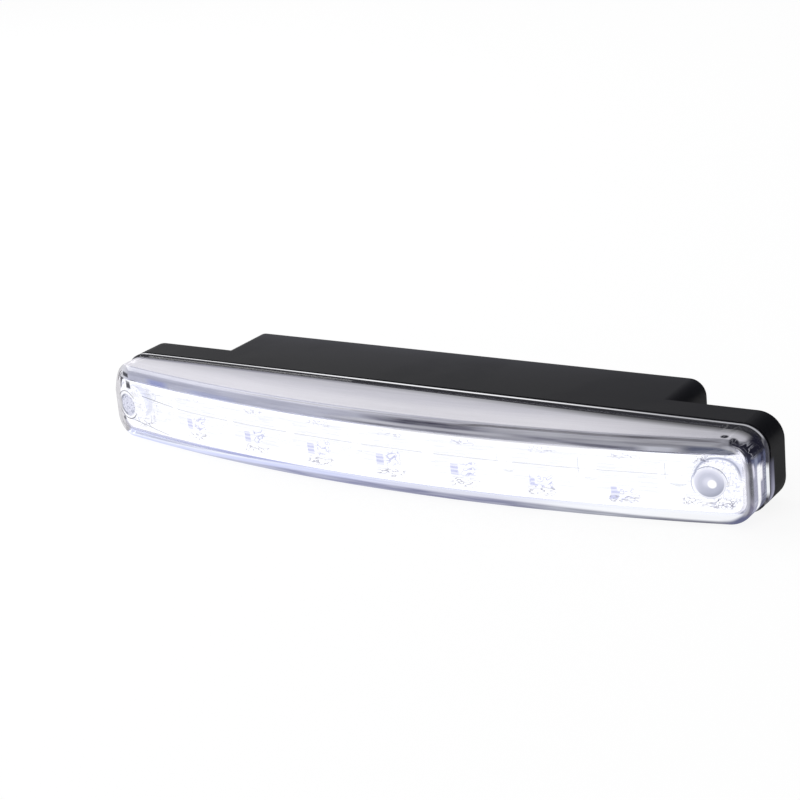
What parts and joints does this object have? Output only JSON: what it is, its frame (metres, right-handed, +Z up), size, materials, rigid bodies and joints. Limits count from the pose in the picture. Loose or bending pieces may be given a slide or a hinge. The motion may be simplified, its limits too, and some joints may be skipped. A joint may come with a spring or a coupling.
{
  "type": "daytime running light",
  "caption": "Slim bowed LED daytime running light with a clear front lens, a plated reflector and a black rear housing with a pod.",
  "frame": {"origin": "middle of the lamp's footprint, on the surface that it stands on", "axes": "+X along the lamp's length, +Y from the lens towards the pod at the back, +Z up"},
  "size_m": [0.185, 0.0445, 0.021],
  "materials": {
    "housing_black": "satin black moulded plastic",
    "lens_clear": "clear gloss polycarbonate",
    "seal_rubber": "matt black rubber",
    "reflector_plating": "bright vacuum plating on plastic",
    "light_board_white": "white-coated aluminium-core board",
    "led_emitter": "yellow phosphor under a clear dome, lit cool white",
    "driver_board_green": "green solder mask",
    "ferrite_dark": "dark ferrite",
    "capacitor_sleeve": "aluminium can",
    "component_black": "matt black moulding",
    "lead_red": "red insulation",
    "lead_black": "black insulation",
    "screw_zinc": "bright zinc plating",
    "grommet_rubber": "matt black rubber"
  },
  "bodies": {
    "root": {"rear_housing": "housing_black", "front_lens": "lens_clear", "seal_ring": "seal_rubber", "reflector": "reflector_plating", "light_board": "light_board_white", "led_1": "led_emitter", "led_2": "led_emitter", "led_3": "led_emitter", "led_4": "led_emitter", "led_5": "led_emitter", "led_6": "led_emitter", "led_7": "led_emitter", "led_8": "led_emitter", "board_screw_1": "screw_zinc", "board_screw_2": "screw_zinc", "board_screw_3": "screw_zinc", "driver_board": "driver_board_green", "driver_screw_left": "screw_zinc", "driver_screw_right": "screw_zinc", "choke": "ferrite_dark", "capacitor": "capacitor_sleeve", "driver_chip": "component_black", "polarity_diode": "component_black", "sense_resistors": "component_black", "lead_positive": "lead_red", "lead_negative": "lead_black", "case_screw_left": "screw_zinc", "case_screw_right": "screw_zinc", "cable_grommet": "grommet_rubber"}
  },
  "joints": []
}
